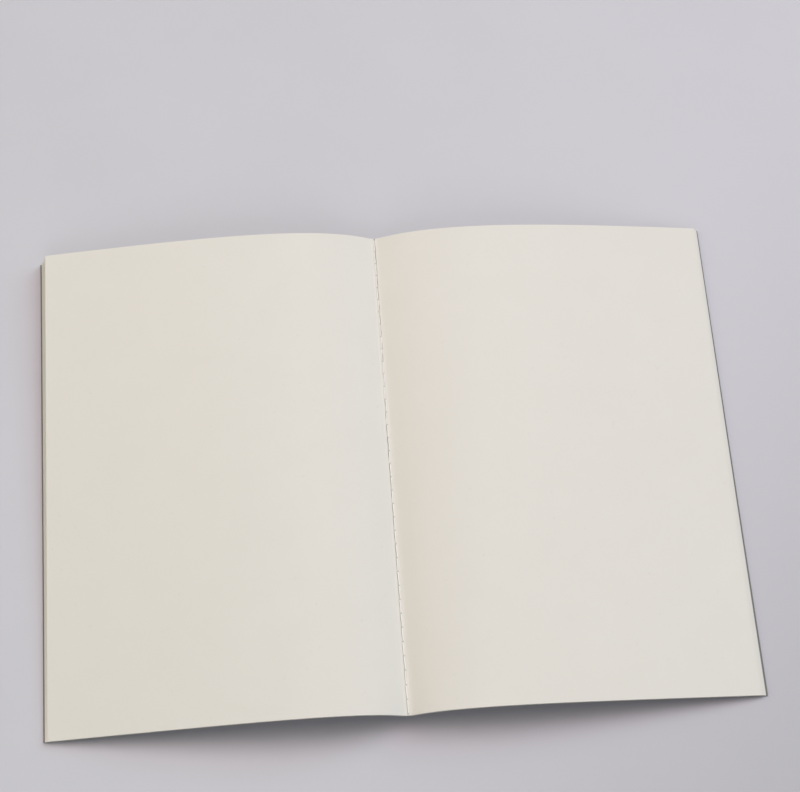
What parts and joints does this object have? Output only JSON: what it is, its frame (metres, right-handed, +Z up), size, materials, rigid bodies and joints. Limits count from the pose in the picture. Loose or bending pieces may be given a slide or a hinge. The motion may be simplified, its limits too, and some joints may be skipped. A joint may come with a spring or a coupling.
{
  "type": "sketchbook",
  "caption": "Slim sewn sketchbook lying open at its centre spread: blank cream leaves in one folded section, stitched through the fold into a plain card cover.",
  "frame": {"origin": "bottom centre of the bounding box of the book as it lies open on a table", "axes": "+X across the spread from the left page to the right page, +Y from tail to head, +Z up"},
  "size_m": [0.301, 0.21, 0.0104],
  "materials": {
    "drawing_paper": "uncoated cream cartridge paper, slight tooth",
    "cover_card": "smooth matt warm-grey card",
    "sewing_thread": "twisted cream cotton thread"
  },
  "bodies": {
    "back_cover": {"back_cover": "cover_card"},
    "front_cover": {"front_cover": "cover_card"},
    "spine": {"cover_spine": "cover_card", "sheet_fold_1": "drawing_paper", "sheet_fold_2": "drawing_paper", "sheet_fold_3": "drawing_paper", "sheet_fold_4": "drawing_paper", "sheet_fold_5": "drawing_paper", "sheet_fold_6": "drawing_paper", "sheet_fold_7": "drawing_paper", "sheet_fold_8": "drawing_paper", "inside_thread": "sewing_thread", "outside_thread": "sewing_thread"},
    "leaf_left_1": {"leaf_left_1": "drawing_paper"},
    "leaf_left_2": {"leaf_left_2": "drawing_paper"},
    "leaf_left_3": {"leaf_left_3": "drawing_paper"},
    "leaf_left_4": {"leaf_left_4": "drawing_paper"},
    "leaf_left_5": {"leaf_left_5": "drawing_paper"},
    "leaf_left_6": {"leaf_left_6": "drawing_paper"},
    "leaf_left_7": {"leaf_left_7": "drawing_paper"},
    "leaf_left_8": {"leaf_left_8": "drawing_paper"},
    "leaf_right_1": {"leaf_right_1": "drawing_paper"},
    "leaf_right_2": {"leaf_right_2": "drawing_paper"},
    "leaf_right_3": {"leaf_right_3": "drawing_paper"},
    "leaf_right_4": {"leaf_right_4": "drawing_paper"},
    "leaf_right_5": {"leaf_right_5": "drawing_paper"},
    "leaf_right_6": {"leaf_right_6": "drawing_paper"},
    "leaf_right_7": {"leaf_right_7": "drawing_paper"},
    "leaf_right_8": {"leaf_right_8": "drawing_paper"}
  },
  "joints": [
    {"name": "close_front_cover", "type": "hinge", "parent": "spine", "child": "front_cover", "pos_m": [0, 0, 0.0101], "axis": [0, -1, 0], "range_deg": [-93, 0]},
    {"name": "close_back_cover", "type": "hinge", "parent": "spine", "child": "back_cover", "pos_m": [0, 0, 0.0101], "axis": [0, 1, 0], "range_deg": [-93, 0]},
    {"name": "turn_leaf_left_8", "type": "hinge", "parent": "front_cover", "child": "leaf_left_8", "pos_m": [0, 0, 0.0101], "axis": [0, 1, 0], "range_deg": [0, 2]},
    {"name": "turn_leaf_left_7", "type": "hinge", "parent": "leaf_left_8", "child": "leaf_left_7", "pos_m": [0, 0, 0.0101], "axis": [0, 1, 0], "range_deg": [0, 2]},
    {"name": "turn_leaf_left_6", "type": "hinge", "parent": "leaf_left_7", "child": "leaf_left_6", "pos_m": [0, 0, 0.0101], "axis": [0, 1, 0], "range_deg": [0, 2]},
    {"name": "turn_leaf_left_5", "type": "hinge", "parent": "leaf_left_6", "child": "leaf_left_5", "pos_m": [0, 0, 0.0101], "axis": [0, 1, 0], "range_deg": [0, 2]},
    {"name": "turn_leaf_left_4", "type": "hinge", "parent": "leaf_left_5", "child": "leaf_left_4", "pos_m": [0, 0, 0.0101], "axis": [0, 1, 0], "range_deg": [0, 2]},
    {"name": "turn_leaf_left_3", "type": "hinge", "parent": "leaf_left_4", "child": "leaf_left_3", "pos_m": [0, 0, 0.0101], "axis": [0, 1, 0], "range_deg": [0, 2]},
    {"name": "turn_leaf_left_2", "type": "hinge", "parent": "leaf_left_3", "child": "leaf_left_2", "pos_m": [0, 0, 0.0101], "axis": [0, 1, 0], "range_deg": [0, 2]},
    {"name": "turn_leaf_left_1", "type": "hinge", "parent": "leaf_left_2", "child": "leaf_left_1", "pos_m": [0, 0, 0.0101], "axis": [0, 1, 0], "range_deg": [0, 60]},
    {"name": "turn_leaf_right_8", "type": "hinge", "parent": "back_cover", "child": "leaf_right_8", "pos_m": [0, 0, 0.0101], "axis": [0, -1, 0], "range_deg": [0, 2]},
    {"name": "turn_leaf_right_7", "type": "hinge", "parent": "leaf_right_8", "child": "leaf_right_7", "pos_m": [0, 0, 0.0101], "axis": [0, -1, 0], "range_deg": [0, 2]},
    {"name": "turn_leaf_right_6", "type": "hinge", "parent": "leaf_right_7", "child": "leaf_right_6", "pos_m": [0, 0, 0.0101], "axis": [0, -1, 0], "range_deg": [0, 2]},
    {"name": "turn_leaf_right_5", "type": "hinge", "parent": "leaf_right_6", "child": "leaf_right_5", "pos_m": [0, 0, 0.0101], "axis": [0, -1, 0], "range_deg": [0, 2]},
    {"name": "turn_leaf_right_4", "type": "hinge", "parent": "leaf_right_5", "child": "leaf_right_4", "pos_m": [0, 0, 0.0101], "axis": [0, -1, 0], "range_deg": [0, 2]},
    {"name": "turn_leaf_right_3", "type": "hinge", "parent": "leaf_right_4", "child": "leaf_right_3", "pos_m": [0, 0, 0.0101], "axis": [0, -1, 0], "range_deg": [0, 2]},
    {"name": "turn_leaf_right_2", "type": "hinge", "parent": "leaf_right_3", "child": "leaf_right_2", "pos_m": [0, 0, 0.0101], "axis": [0, -1, 0], "range_deg": [0, 2]},
    {"name": "turn_leaf_right_1", "type": "hinge", "parent": "leaf_right_2", "child": "leaf_right_1", "pos_m": [0, 0, 0.0101], "axis": [0, -1, 0], "range_deg": [0, 60]}
  ]
}
